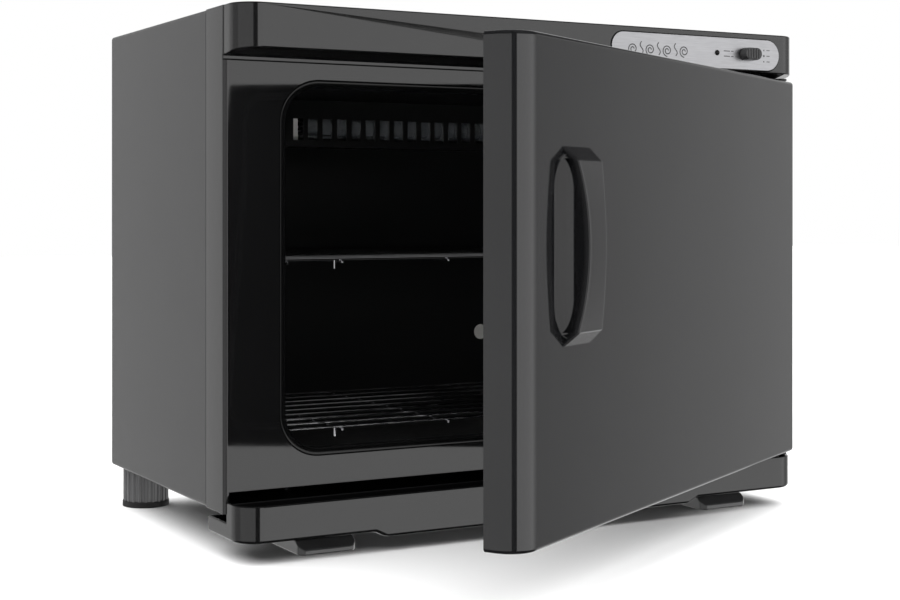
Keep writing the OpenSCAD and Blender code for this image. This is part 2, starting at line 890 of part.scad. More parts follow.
outer_casing();
back_panel();
bottom_pan();
front_frame();
top_fascia();
opening_trim();
inner_liner();
body_insulation();
upper_rack();
lower_rack();
rack_supports();
heater_plate();
thermostat();
thermal_fuse();
uv_lamp();
lamp_holders();
lamp_guard();
lamp_ballast();
terminal_block();
wiring_loom();
cable_gland();
control_plate();
selector_knob();
switch_shaft();
switch_body();
indicator_lamp();
drip_tray();
tray_rails();
front_feet();
rear_feet();
rear_foot_pads();
foot_screws();
door_shell();
door_inner_panel();
door_insulation();
door_gasket();
door_handle();
hinge_bushes();
upper_hinge_bracket();
lower_hinge_bracket();
hinge_pins();
hinge_screws();
magnet_catch();
magnet_striker();
back_screws();
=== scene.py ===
"""Looks of the counter-top hot towel cabinet: finishes, detailed pieces, studio light and camera."""

import json
from math import acos, cos, degrees, pi, radians, sin, sqrt, tau

import bmesh
import bpy
from mathutils import Matrix, Vector


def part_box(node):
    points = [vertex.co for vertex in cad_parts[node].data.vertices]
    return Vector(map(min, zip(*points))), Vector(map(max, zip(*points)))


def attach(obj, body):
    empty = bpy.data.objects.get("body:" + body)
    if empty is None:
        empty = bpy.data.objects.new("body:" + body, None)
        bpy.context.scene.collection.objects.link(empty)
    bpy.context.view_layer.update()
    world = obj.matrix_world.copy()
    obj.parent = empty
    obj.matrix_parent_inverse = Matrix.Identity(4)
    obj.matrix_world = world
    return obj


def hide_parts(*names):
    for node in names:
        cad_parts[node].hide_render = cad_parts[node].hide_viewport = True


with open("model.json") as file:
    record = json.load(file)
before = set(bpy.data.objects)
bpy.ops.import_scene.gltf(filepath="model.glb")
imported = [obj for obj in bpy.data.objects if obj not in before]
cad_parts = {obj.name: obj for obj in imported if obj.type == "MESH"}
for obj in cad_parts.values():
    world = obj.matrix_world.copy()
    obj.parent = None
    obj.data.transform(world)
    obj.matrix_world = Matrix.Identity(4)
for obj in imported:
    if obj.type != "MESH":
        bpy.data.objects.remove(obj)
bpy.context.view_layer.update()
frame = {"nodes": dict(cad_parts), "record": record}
NODES = frame["nodes"]
JOINTS = {j["name"]: j for j in frame["record"]["behaviour"]["joints"]}
MM = 0.001

HINGE = Vector(JOINTS["door_swing"]["pos_m"])
DOOR_OPEN = -radians(JOINTS["door_swing"]["range_deg"][0])
DOOR_POSE = Matrix.Translation(HINGE) @ Matrix.Rotation(DOOR_OPEN, 4, "Z") @ Matrix.Translation(-HINGE)


# ---- boxes, in millimetres ----

class Box:
    """A box in millimetres. Y runs into the cabinet."""

    def __init__(self, low, high):
        self.x0, self.y0, self.z0 = (c / MM for c in low)
        self.x1, self.y1, self.z1 = (c / MM for c in high)
        self.x = (self.x0 + self.x1) / 2
        self.y = (self.y0 + self.y1) / 2
        self.z = (self.z0 + self.z1) / 2


def box(node):
    return Box(*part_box(node))


def shut_box(node):
    """Box of a door node with the door shut."""
    back = DOOR_POSE.inverted()
    points = [back @ v.co for v in NODES[node].data.vertices]
    low = [min(p[i] for p in points) for i in range(3)]
    high = [max(p[i] for p in points) for i in range(3)]
    return Box(low, high)


# ---- materials ----

class Shader:
    """A Principled material with procedural inputs, read in the object's own coordinates."""

    def __init__(self, name, color, roughness, **constants):
        self.material = bpy.data.materials.new(name)
        self.material.use_nodes = True
        self.tree = self.material.node_tree
        self.surface = self.tree.nodes["Principled BSDF"]
        self.place = self.node("ShaderNodeTexCoord").outputs["Object"]
        self.color = color
        self.set("Base Color", (*color, 1))
        self.set("Roughness", roughness)
        for key, value in constants.items():
            self.set(key.replace("_", " "), value)

    def node(self, kind, **settings):
        made = self.tree.nodes.new(kind)
        for key, value in settings.items():
            setattr(made, key, value)
        return made

    def set(self, socket, value):
        self.surface.inputs[socket].default_value = value

    def link(self, source, target):
        self.tree.links.new(source, target)

    def stretched(self, scale):
        mapping = self.node("ShaderNodeMapping")
        mapping.inputs["Scale"].default_value = scale
        self.link(self.place, mapping.inputs["Vector"])
        return mapping.outputs["Vector"]

    def noise(self, scale, detail=4.0, stretch=(1, 1, 1)):
        texture = self.node("ShaderNodeTexNoise")
        texture.inputs["Scale"].default_value = scale
        texture.inputs["Detail"].default_value = detail
        self.link(self.stretched(stretch), texture.inputs["Vector"])
        return texture.outputs[0]

    def cells(self, scale, stretch=(1, 1, 1)):
        texture = self.node("ShaderNodeTexVoronoi")
        texture.inputs["Scale"].default_value = scale
        self.link(self.stretched(stretch), texture.inputs["Vector"])
        return texture.outputs["Distance"]

    def ranged(self, value, low, high, start=0.3, end=0.7):
        spread = self.node("ShaderNodeMapRange")
        spread.inputs["From Min"].default_value = start
        spread.inputs["From Max"].default_value = end
        spread.inputs["To Min"].default_value = low
        spread.inputs["To Max"].default_value = high
        self.link(value, spread.inputs["Value"])
        return spread.outputs["Result"]

    def tint(self, value, share):
        """Colour between share darker and share lighter, as value goes from low to high."""
        mix = self.node("ShaderNodeMix", data_type="RGBA")
        mix.inputs["A"].default_value = (*[c * (1 - share) for c in self.color], 1)
        mix.inputs["B"].default_value = (*[min(1, c * (1 + share)) for c in self.color], 1)
        self.link(self.ranged(value, 0, 1), mix.inputs["Factor"])
        self.link(mix.outputs["Result"], self.surface.inputs["Base Color"])

    def rough(self, value, low, high):
        self.link(self.ranged(value, low, high), self.surface.inputs["Roughness"])

    def bump(self, value, height, strength=1.0):
        """Relief of that height in millimetres."""
        relief = self.node("ShaderNodeBump")
        relief.inputs["Strength"].default_value = strength
        relief.inputs["Distance"].default_value = height * MM
        self.link(value, relief.inputs["Height"])
        self.link(relief.outputs["Normal"], self.surface.inputs["Normal"])


def gloss_plastic(name, color, roughness=0.03, ior=1.8):
    """Polished moulding with faint flow lines and wiping marks."""
    s = Shader(name, color, roughness, IOR=ior)
    s.tint(s.noise(14), 0.15)
    s.rough(s.noise(60, 6), roughness, roughness + 0.03)
    s.bump(s.noise(22, 2), 0.006, 0.3)
    return s.material


def satin_plastic(name, color, roughness=0.45, ior=1.5):
    s = Shader(name, color, roughness, IOR=ior)
    s.tint(s.noise(40), 0.15)
    s.rough(s.noise(300), roughness - 0.05, roughness + 0.08)
    s.bump(s.noise(1800, 3), 0.02, 0.6)
    return s.material


def powder_coat(name, color, roughness, grain):
    """Sprayed coat with a fine orange-peel relief."""
    s = Shader(name, color, roughness, IOR=1.5)
    s.tint(s.noise(18), 0.06)
    s.rough(s.noise(220), roughness - 0.03, roughness + 0.05)
    s.bump(s.noise(900, 3), grain, 0.5)
    return s.material


def bare_metal(name, color, roughness, grain=(1, 1, 1), relief=0.004):
    """Plated or brushed metal; grain stretches its marks."""
    s = Shader(name, color, roughness, Metallic=1.0)
    s.tint(s.noise(90, 5, grain), 0.08)
    s.rough(s.noise(160, 5, grain), roughness, roughness + 0.12)
    s.bump(s.noise(700, 2, grain), relief, 0.5)
    return s.material


def rubber(name, color):
    s = Shader(name, color, 0.7, IOR=1.45)
    s.tint(s.noise(60), 0.2)
    s.rough(s.noise(200), 0.6, 0.8)
    s.bump(s.noise(1500, 4), 0.03, 0.7)
    return s.material


def mineral_wool(name, color):
    s = Shader(name, color, 0.95, Sheen_Weight=0.3)
    s.tint(s.noise(120, 8, (1, 4, 1)), 0.3)
    s.bump(s.noise(600, 8, (1, 5, 1)), 0.8, 0.8)
    return s.material


def glazed_ceramic(name, color):
    s = Shader(name, color, 0.35, IOR=1.5)
    s.tint(s.noise(70), 0.06)
    s.rough(s.noise(150), 0.3, 0.5)
    s.bump(s.cells(900), 0.01, 0.4)
    return s.material


def quartz_glass(name, color):
    s = Shader(name, color, 0.04, IOR=1.46, Transmission_Weight=0.85)
    s.tint(s.noise(30, 3, (0.2, 1, 1)), 0.05)
    s.rough(s.noise(40), 0.02, 0.1)
    return s.material


def silicone_mat(name, color):
    """Heater mat with the weave of its glass cloth showing."""
    s = Shader(name, color, 0.6)
    s.tint(s.cells(260), 0.15)
    s.bump(s.cells(260), 0.15, 0.6)
    return s.material


MATERIALS = {
    "casing_paint": powder_coat("casing_paint", (0.014, 0.014, 0.0145), 0.22, 0.012),
    "front_plastic": gloss_plastic("front_plastic", (0.005, 0.005, 0.0052)),
    "door_plastic": gloss_plastic("door_plastic", (0.006, 0.0061, 0.0066)),
    "panel_black": gloss_plastic("panel_black", (0.0006, 0.0006, 0.00063), 0.16, 1.15),
    "trim_black": gloss_plastic("trim_black", (0.003, 0.003, 0.0031), 0.08, 1.5),
    "liner_coated": powder_coat("liner_coated", (0.012, 0.012, 0.0123), 0.35, 0.01),
    "foam": mineral_wool("foam", (0.8, 0.72, 0.45)),
    "chrome_wire": bare_metal("chrome_wire", (0.86, 0.86, 0.88), 0.12),
    "clip_plastic": satin_plastic("clip_plastic", (0.72, 0.72, 0.72)),
    "heater": silicone_mat("heater", (0.55, 0.22, 0.12)),
    "ceramic": glazed_ceramic("ceramic", (0.88, 0.87, 0.83)),
    "tube_glass": quartz_glass("tube_glass", (0.9, 0.94, 1.0)),
    "bright_sheet": bare_metal("bright_sheet", (0.8, 0.8, 0.82), 0.18, (1, 12, 1)),
    "control_silver": bare_metal("control_silver", (0.57, 0.57, 0.588), 0.3, (1, 30, 30)),
    "knob_black": satin_plastic("knob_black", (0.04, 0.04, 0.041), 0.3),
    "switch_black": satin_plastic("switch_black", (0.03, 0.03, 0.034)),
    "indicator": gloss_plastic("indicator", (0.012, 0.012, 0.012), 0.05, 1.5),
    "zinc_steel": bare_metal("zinc_steel", (0.66, 0.67, 0.69), 0.28),
    "foot_plastic": satin_plastic("foot_plastic", (0.08, 0.08, 0.082), 0.14, 1.8),
    "pad_rubber": rubber("pad_rubber", (0.02, 0.02, 0.02)),
    "wire_jacket": satin_plastic("wire_jacket", (0.5, 0.06, 0.05), 0.4),
    "back_paint": powder_coat("back_paint", (0.03, 0.03, 0.031), 0.45, 0.05),
    "gasket_rubber": rubber("gasket_rubber", (0.008, 0.008, 0.0085)),
    "bush_nylon": satin_plastic("bush_nylon", (0.03, 0.03, 0.032), 0.4),
}
SLOT_OF = {s["node"]: s["material_slot"] for s in frame["record"]["subparts"]}


def dress(obj, slot):
    """Gives a piece the finish of a material slot."""
    obj.data.materials.clear()
    obj.data.materials.append(MATERIALS[slot])


# Rounding of the edges in millimetres, full even where edges are short
EDGE = {"outer_casing": 0.25, "front_frame": 0.6, "top_fascia": 1.0, "drip_tray": 1.0, "front_feet": 1.1}
# Rounding of the other nodes, less where edges are short
OTHER_EDGE = 0.2
# Rounding and the heights of the lower faces that get it
UNDERSIDE = {"drip_tray": (2.6, (9.5, 13.4))}
EDGE_SEGMENTS = 3
UNDERSIDE_SEGMENTS = 4
SHARP_ANGLE = 35
FLAT_ANGLE = 0.5
WELD_GAP = 0.02


def soften(obj):
    """Rounds the sharp edges of a CAD node."""
    mesh = obj.data
    if "custom_normal" in mesh.attributes:
        mesh.attributes.remove(mesh.attributes["custom_normal"])
    mesh.polygons.foreach_set("use_smooth", [True] * len(mesh.polygons))
    weld = obj.modifiers.new("weld", "WELD")
    weld.merge_threshold = WELD_GAP * MM
    flat = obj.modifiers.new("flat_faces", "DECIMATE")
    flat.decimate_type = "DISSOLVE"
    flat.angle_limit = radians(FLAT_ANGLE)
    if obj.name in UNDERSIDE:
        round_underside(obj, *UNDERSIDE[obj.name])
    bevel = obj.modifiers.new("edges", "BEVEL")
    bevel.width = EDGE.get(obj.name, OTHER_EDGE) * MM
    bevel.segments = EDGE_SEGMENTS
    bevel.limit_method = "ANGLE"
    bevel.angle_limit = radians(SHARP_ANGLE)
    bevel.harden_normals = obj.name not in UNDERSIDE
    bevel.use_clamp_overlap = obj.name not in EDGE
    if obj.name in UNDERSIDE:
        flatten_normals(obj)
    return obj


def flatten_normals(obj):
    """Shades the broad faces flat and leaves the turning to the rounded edges."""
    normals = obj.modifiers.new("flat_normals", "WEIGHTED_NORMAL")
    normals.weight = 100
    normals.keep_sharp = True


def round_underside(obj, width, levels):
    """Rounds the edges of the lower faces, which lie at those heights."""
    low = [v.index for v in obj.data.vertices if any(abs(v.co.z / MM - z) < 0.05 for z in levels)]
    group = obj.vertex_groups.new(name="underside")
    group.add(low, 1, "REPLACE")
    bevel = obj.modifiers.new("underside", "BEVEL")
    bevel.width = width * MM
    bevel.segments = UNDERSIDE_SEGMENTS
    bevel.limit_method = "VGROUP"
    bevel.vertex_group = group.name
    bevel.use_clamp_overlap = False


# ---- mesh tools, in millimetres ----

def piece(name, points, faces):
    mesh = bpy.data.meshes.new(name)
    mesh.from_pydata([Vector(p) * MM for p in points], [], faces)
    work = bmesh.new()
    work.from_mesh(mesh)
    bmesh.ops.recalc_face_normals(work, faces=work.faces)
    work.to_mesh(mesh)
    work.free()
    obj = bpy.data.objects.new(name, mesh)
    bpy.context.scene.collection.objects.link(obj)
    return shade(obj)


def shade(obj, angle=28):
    """Smooth shading with sharp edges kept."""
    mesh = obj.data
    mesh.polygons.foreach_set("use_smooth", [True] * len(mesh.polygons))
    mesh.set_sharp_from_angle(angle=radians(angle))
    return obj


def skin(loops, closed=False, start=0):
    """Faces between loops that all have the same number of points, with flat ends unless closed."""
    n = len(loops[0])
    count = len(loops)
    faces = []
    for i in range(count if closed else count - 1):
        j = (i + 1) % count
        for k in range(n):
            m = (k + 1) % n
            faces.append(tuple(start + v for v in (i * n + k, i * n + m, j * n + m, j * n + k)))
    if not closed:
        faces.append(tuple(start + k for k in range(n)))
        faces.append(tuple(start + (count - 1) * n + k for k in range(n)))
    return faces


def loft(name, loops, closed=False):
    return piece(name, [p for loop in loops for p in loop], skin(loops, closed))


def lofts(name, shapes):
    """One piece of several lofted solids."""
    points = []
    faces = []
    for loops in shapes:
        faces += skin(loops, start=len(points))
        points += [p for loop in loops for p in loop]
    return piece(name, points, faces)


def arc(cx, cy, r, start, end, steps=12):
    angles = [radians(start + (end - start) * i / steps) for i in range(steps + 1)]
    return [(cx + r * cos(a), cy + r * sin(a)) for a in angles]


def rounded(x0, x1, z0, z1, r, steps=12):
    """Rounded rectangle."""
    right = arc(x1 - r, z0 + r, r, -90, 0, steps) + arc(x1 - r, z1 - r, r, 0, 90, steps)
    left = arc(x0 + r, z1 - r, r, 90, 180, steps) + arc(x0 + r, z0 + r, r, 180, 270, steps)
    return right + left


def at_y(outline, y):
    return [(x, y, z) for x, z in outline]


def at_z(outline, z):
    return [(x, y, z) for x, y in outline]


def disc(x, z, r, y, sides=32):
    turns = [tau * i / sides for i in range(sides)]
    return at_y([(x + r * cos(t), z + r * sin(t)) for t in turns], y)


def turn(steps=6):
    """A quarter turn in equal steps."""
    return [pi / 2 * i / steps for i in range(steps + 1)]


def wire(path, r, sides=12):
    """Loops of a round wire along a path, with rounded ends."""
    points = [Vector(p) for p in path]
    last = len(points) - 1
    loops = []
    first = (points[1] - points[0]).normalized()
    side = first.orthogonal()
    for i, p in enumerate(points):
        along = (points[min(i + 1, last)] - points[max(i - 1, 0)]).normalized()
        side = (side - along * side.dot(along)).normalized()
        up = along.cross(side)
        rings = [(0, 1)]
        if i == 0:
            rings = [(r * (1 - cos(t)), max(0.25, sin(t))) for t in turn(3)]
        if i == last:
            rings = [(-r * (1 - cos(t)), max(0.25, sin(t))) for t in reversed(turn(3))]
        for shift, share in rings:
            turns = [tau * k / sides for k in range(sides)]
            centre = p + along * shift
            loops.append([tuple(centre + (side * cos(t) + up * sin(t)) * r * share) for t in turns])
    return loops


def bake(obj):
    """Applies the modifiers."""
    graph = bpy.context.evaluated_depsgraph_get()
    mesh = bpy.data.meshes.new_from_object(obj.evaluated_get(graph))
    obj.modifiers.clear()
    obj.data = mesh
    return obj


def cut(obj, *cutters):
    for cutter in cutters:
        carve = obj.modifiers.new("cut", "BOOLEAN")
        carve.operation = "DIFFERENCE"
        carve.solver = "EXACT"
        carve.object = cutter
    bake(obj)
    for cutter in cutters:
        bpy.data.objects.remove(cutter)
    return shade(obj)


def place(obj, body, slot, *nodes):
    """Dresses a piece, lets it ride on its body and stand for its CAD nodes. Door pieces are made shut."""
    if body == "door":
        obj.data.transform(DOOR_POSE)
    dress(obj, slot)
    flatten_normals(obj)
    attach(obj, body)
    if nodes:
        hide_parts(*nodes)
    return obj


# ---- the CAD nodes that stay ----


def dress_cad_nodes():
    for name, obj in NODES.items():
        dress(obj, SLOT_OF[name])
        soften(obj)


# ---- door ----

DOOR = shut_box("door_shell")
HANDLE = shut_box("door_handle")
PANEL = shut_box("door_inner_panel")
GASKET = shut_box("door_gasket")
HINGE_X = HINGE.x / MM
HINGE_Y = HINGE.y / MM
HEEL_R = HINGE_Y - DOOR.y0
FREE_EDGE_R = 17
DOOR_EDGE = 2.6
DISH_W = 58.6
DISH_H = 102
DISH_DEPTH = 9
DISH_SHIFT = 3
DISH_CORNER = 20
DISH_LIP = 0.8
DISH_FILLET = 2
STRAP_END_W = 34
STRAP_WAIST_W = 21
STRAP_T = 4.4
STRAP_BEND = 0.86
STRAP_BOW = 0.46
STRAP_END_DROP = 0.5
STRAP_EDGE = 1.3


def door_plan(inset):
    """Shut door seen from above, with its rounded free edge and its round hinge edge."""
    back = DOOR.y1 - 0.3
    last = 90 - degrees(acos(HEEL_R / (DOOR.y1 - HINGE_Y)))
    free_edge = arc(DOOR.x0 + FREE_EDGE_R, DOOR.y0 + FREE_EDGE_R, FREE_EDGE_R - inset, 180, 270, 28)
    hinge_edge = arc(HINGE_X, HINGE_Y, HEEL_R - inset, -90, last, 24)
    return [(DOOR.x0 + inset, back)] + free_edge + hinge_edge + [(HINGE_X - inset, back)]


def dish_loops():
    """The finger dish behind the handle, with a rounded lip and a filleted floor."""
    sections = [(-3, DISH_LIP)]
    sections += [(DISH_LIP * (1 - cos(t)), DISH_LIP * (1 - sin(t))) for t in turn()]
    floor = DISH_DEPTH - DISH_FILLET
    sections += [(floor + DISH_FILLET * sin(t), -DISH_FILLET * (1 - cos(t))) for t in turn()]
    loops = []
    for depth, grow in sections:
        half_w = DISH_W / 2 + grow
        half_h = DISH_H / 2 + grow
        outline = rounded(-half_w, half_w, -half_h, half_h, DISH_CORNER + grow, 16)
        loops.append([(HANDLE.x + DISH_SHIFT + x, DOOR.y0 + depth, HANDLE.z + z) for x, z in outline])
    return loops


def make_door_shell():
    rim = [(DOOR_EDGE * (1 - sin(t)), DOOR_EDGE * (1 - cos(t))) for t in turn(8)]
    low = [at_z(door_plan(inset), DOOR.z0 + up) for inset, up in rim]
    high = [at_z(door_plan(inset), DOOR.z1 - down) for inset, down in reversed(rim)]
    shell = loft("door_shell_moulding", list(low) + list(high))
    pocket = rounded(PANEL.x0 - 0.2, PANEL.x1 + 0.2, PANEL.z0 - 0.2, PANEL.z1 + 0.2, 3)
    hollow = loft("pocket", [at_y(pocket, PANEL.y0 + 0.2), at_y(pocket, DOOR.y1 + 5)])
    cut(shell, loft("dish", dish_loops()), hollow)
    return place(shell, "door", "door_plastic", "door_shell")


def strap_out(s):
    """Height of the strap over the door, at s of the way from its middle to its end."""
    rise = DOOR.y0 - HANDLE.y0
    slope = STRAP_END_DROP * max(0, s - STRAP_BEND) / (1 - STRAP_BEND)
    return rise * (1 - STRAP_BOW * s * s - slope)


def make_handle():
    half = (HANDLE.z1 - HANDLE.z0) / 2
    bends = [STRAP_BEND - 0.012, STRAP_BEND - 0.004, STRAP_BEND + 0.004, STRAP_BEND + 0.012]
    stations = sorted([i / 20 for i in range(17)] + bends + [0.88, 0.92, 0.96, 1.0])
    stations = [-s for s in reversed(stations) if s > 0] + stations
    loops = []
    for s in stations:
        out = strap_out(abs(s))
        inner = max(-1.5 * max(0, abs(s) - 0.9) * 10, out - STRAP_T)
        w = STRAP_WAIST_W + (STRAP_END_W - STRAP_WAIST_W) * abs(s) ** 2.4
        r = min(STRAP_EDGE, (out - inner) * 0.45)
        section = rounded(-w / 2, w / 2, inner, out, r, 6)
        loops.append([(HANDLE.x + x, DOOR.y0 - o, HANDLE.z + s * half) for x, o in section])
    strap = loft("door_handle_strap", loops)
    return place(shade(strap, 20), "door", "door_plastic", "door_handle")


def make_inner_panel():
    """Moulded inner face: a flat rim under the gasket and a sunken field with two broad ribs."""
    steps = [(0, 0), (0, 2.6), (0.4, 3), (24, 3), (27, 1.6), (28, 1.4)]
    loops = []
    for inset, out in steps:
        outline = rounded(
            PANEL.x0 + inset, PANEL.x1 - inset, PANEL.z0 + inset, PANEL.z1 - inset, 4 + inset * 0.8
        )
        loops.append(at_y(outline, PANEL.y0 + out))
    panel = loft("door_inner_panel_moulding", loops)
    place(panel, "door", "panel_black", "door_inner_panel")
    ribs = []
    for share in (0.34, 0.66):
        z = PANEL.z0 + (PANEL.z1 - PANEL.z0) * share
        levels = [(0, 1.2), (0, 1.5), (1.5, 2.6), (3, 2.8)]
        loops = []
        for i, out in levels:
            outline = rounded(PANEL.x0 + 60 + i, PANEL.x1 - 60 - i, z - 9 + i, z + 9 - i, 8.9 - i)
            loops.append(at_y(outline, PANEL.y0 + out))
        ribs.append(loops)
    return place(lofts("door_inner_ribs", ribs), "door", "panel_black")


def make_gasket():
    """Soft seal with a pair of lips."""
    base = GASKET.y0 + 0.2
    top = GASKET.y1
    profile = [(0, base), (0, top - 0.3), (0.5, top - 0.05), (1.2, top), (2, top - 0.25), (3, top - 0.6)]
    profile += [(6 - inset, y) for inset, y in reversed(profile[:5])]
    loops = []
    for inset, y in profile:
        outline = rounded(
            GASKET.x0 + inset, GASKET.x1 - inset, GASKET.z0 + inset, GASKET.z1 - inset, 26 - inset, 14
        )
        loops.append(at_y(outline, y))
    return place(loft("door_gasket_lips", loops, closed=True), "door", "gasket_rubber", "door_gasket")


# ---- opening trim ----

def make_trim():
    """Black ring round the opening, rolled over at both edges."""
    trim = box("opening_trim")
    face = trim.y0 + 0.1
    width = 4.5
    radius = 28
    profile = [(0, 9), (0, 0.5), (0.15, 0.12), (0.5, -0.04), (1, -0.08), (3.2, -0.08)]
    profile += [(3.8, 0.1), (4.2, 0.45), (4.42, 1), (width, 2), (width, 9)]
    loops = []
    for inset, depth in profile:
        outline = rounded(
            trim.x0 + inset, trim.x1 - inset, trim.z0 + inset, trim.z1 - inset, radius - inset, 20
        )
        loops.append(at_y(outline, face + depth))
    return place(loft("opening_trim_ring", loops, closed=True), "cabinet", "trim_black", "opening_trim")


# ---- racks ----

RACK_WIRE_R = 1.1
RACK_SIDE_R = 1.4


def make_rack(node):
    """Welded rack: cross wires on four runners, two stout side wires and turned-down legs."""
    rack = box(node)
    top = rack.z1 - RACK_WIRE_R
    under = rack.z1 - 3 * RACK_WIRE_R + 0.1
    front = rack.y0 + 3
    back = rack.y1 - 2
    steps = 8
    wires = []
    for i in range(steps + 1):
        y = front + (back - front) * i / steps
        wires.append(wire([(rack.x0, y, top), (rack.x, y, top), (rack.x1, y, top)], RACK_WIRE_R))
    for x in (-137, -56.5, 56.5, 137):
        wires.append(wire([(x, rack.y0, under), (x, back, under), (x, rack.y1, under)], RACK_WIRE_R))
    for x in (rack.x0 + 4, rack.x1 - 4):
        wires.append(wire([(x, rack.y0, under), (x, back, under), (x, rack.y1, under)], RACK_SIDE_R))
    for x in (-142, 142):
        for y in (front, back):
            wires.append(wire([(x, y, top), (x, y, top - 3), (x, y, rack.z0)], RACK_WIRE_R))
    return place(lofts(node + "_wires", wires), "cabinet", "chrome_wire", node)


# ---- controls ----

PLATE = box("control_plate")


def plate_outline(inset):
    r_left = 10 - inset
    r_right = (PLATE.z1 - PLATE.z0) / 2 - inset
    right = arc(PLATE.x1 - inset - r_right, PLATE.z, r_right, -90, 90, 32)
    top = arc(PLATE.x0 + 10, PLATE.z1 - 10, r_left, 90, 180, 12)
    low = arc(PLATE.x0 + 10, PLATE.z0 + 10, r_left, 180, 270, 12)
    return right + top + low


MARK_RELIEF = 0.04
DRAWING_LINE = 0.75
CAPTION_LINE = 0.6
SCALE_LINE = 0.55


def ribbon(points, width, y):
    """Flat printed line through points of the front view, as two loops of a thin slab."""
    half = width / 2
    left = []
    right = []
    for i, (x, z) in enumerate(points):
        ax, az = points[max(0, i - 1)]
        bx, bz = points[min(len(points) - 1, i + 1)]
        length = sqrt((bx - ax) ** 2 + (bz - az) ** 2)
        nx = -(bz - az) / length * half
        nz = (bx - ax) / length * half
        left.append((x + nx, z + nz))
        right.append((x - nx, z - nz))
    outline = left + list(reversed(right))
    return [at_y(outline, y), at_y(outline, y - MARK_RELIEF)]


def rolled_towel(x, z, size):
    """Spiral of one and three quarter turns with a loose end."""
    turns = [i / 40 for i in range(41)]
    return [
        (x + size * (0.2 + 0.8 * t) * cos(1.75 * tau * t), z + size * (0.2 + 0.8 * t) * sin(1.75 * tau * t))
        for t in turns
    ]


def steam(x, z, height):
    steps = [i / 16 for i in range(17)]
    return [(x + 1.3 * sin(tau * t), z + height * (t - 0.5)) for t in steps]


def make_plate():
    face = PLATE.y0
    sheet = [(0.0, PLATE.y1), (0.0, face + 0.22), (0.08, face + 0.06), (0.25, face)]
    plate = loft("control_plate_sheet", [at_y(plate_outline(inset), y) for inset, y in sheet])
    place(plate, "cabinet", "control_silver", "control_plate")
    marks = []
    for i in range(4):
        marks.append(ribbon(rolled_towel(72 + i * 15, PLATE.z - 0.6, 4.2), DRAWING_LINE, face))
    for i in range(3):
        marks.append(ribbon(steam(79.5 + i * 15, PLATE.z + 0.4, 9), DRAWING_LINE, face))
    for z in (PLATE.z + 1.6, PLATE.z - 2.2):
        marks.append(ribbon([(153, z), (156, z), (158.6, z)], CAPTION_LINE, face))
        marks.append(ribbon([(159.8, z), (161, z), (162, z)], CAPTION_LINE, face))
    for z, size in ((PLATE.z + 3.6, 1.1), (PLATE.z - 0.6, 1.5), (PLATE.z - 4.8, 1.1)):
        marks.append([disc(190.5, z, size / 2, y, 16) for y in (face, face - MARK_RELIEF)])
        marks.append(ribbon([(193, z), (194.5, z), (196, z)], SCALE_LINE, face))
    return place(lofts("control_plate_marks", marks), "cabinet", "knob_black")


def stadium(x, z, half_w, half_h, steps=14):
    return rounded(x - half_w, x + half_w, z - half_h, z + half_h, half_h - 0.01, steps)


def make_knob():
    """Oval selector with finger ribs across its face and a round skirt."""
    knob = box("selector_knob")
    face = knob.y0 + 0.6
    skirt = knob.y1
    half_w = (knob.x1 - knob.x0) / 2
    half_h = (knob.z1 - knob.z0) / 2
    sections = [(0.5, skirt), (0, skirt - 0.5), (0.15, face + 1), (0.3, face + 0.4)]
    sections += [(0.7, face + 0.08), (1.3, face)]
    shapes = [[at_y(stadium(knob.x, knob.z, half_w - i, half_h - i), y) for i, y in sections]]
    for i in range(-2, 3):
        x = knob.x + i * 2.4
        reach = half_h - 0.9 - 0.25 * abs(i)
        rib = [(0, face + 0.3), (0, face - 0.25), (0.2, face - 0.5), (0.4, face - 0.58)]
        shapes.append([
            at_y(rounded(x - 0.75 + t, x + 0.75 - t, knob.z - reach + t, knob.z + reach - t, 0.34, 4), y)
            for t, y in rib
        ])
    return place(lofts("selector_knob_grip", shapes), "knob", "knob_black", "selector_knob")


def make_indicator():
    """Domed lens in a thin collar."""
    lamp = box("indicator_lamp")
    x = lamp.x
    z = PLATE.z
    face = PLATE.y0
    collar = [(2.0, face + 0.1), (2.0, face - 0.25), (1.85, face - 0.4), (1.55, face - 0.4)]
    dome = [(1.5 * cos(t), face - 0.3 - 1.1 * sin(t)) for t in turn(6)[:-1]]
    loops = [disc(x, z, r, y) for r, y in collar + dome + [(0.15, face - 1.4)]]
    return place(loft("indicator_lens", loops), "cabinet", "indicator")


# ---- screws ----

def pan_head(x, y, z, out, r=3.0):
    """Domed head with a cross recess, facing along out (1 is backwards, -1 is forwards)."""
    height = 1.7
    profile = [(r, 0), (r, 0.5), (r * 0.93, 1.0), (r * 0.72, 1.4), (r * 0.4, height), (0.2, height)]
    head = loft("head", [disc(x, z, radius, y + out * up) for radius, up in profile])
    arms = []
    for a, b in ((1.8, 0.35), (0.35, 1.8)):
        arm = rounded(x - a, x + a, z - b, z + b, 0.1, 2)
        arms.append(loft("arm", [at_y(arm, y + out * 0.7), at_y(arm, y + out * 3)]))
    return cut(head, *arms)


def join(name, objects):
    work = bmesh.new()
    for obj in objects:
        work.from_mesh(obj.data)
        bpy.data.objects.remove(obj)
    mesh = bpy.data.meshes.new(name)
    work.to_mesh(mesh)
    work.free()
    obj = bpy.data.objects.new(name, mesh)
    bpy.context.scene.collection.objects.link(obj)
    return shade(obj)


def make_back_screws():
    back = box("back_panel")
    low = back.z0 + 11
    high = back.z1 - 11
    places = [(x, z) for x in (-214, 0, 214) for z in (low, high)] + [(-214, 190), (214, 190)]
    heads = [pan_head(x, back.y1, z, 1) for x, z in places]
    return place(join("back_screw_heads", heads), "cabinet", "zinc_steel", "back_screws")


# ---- sterilising lamp ----

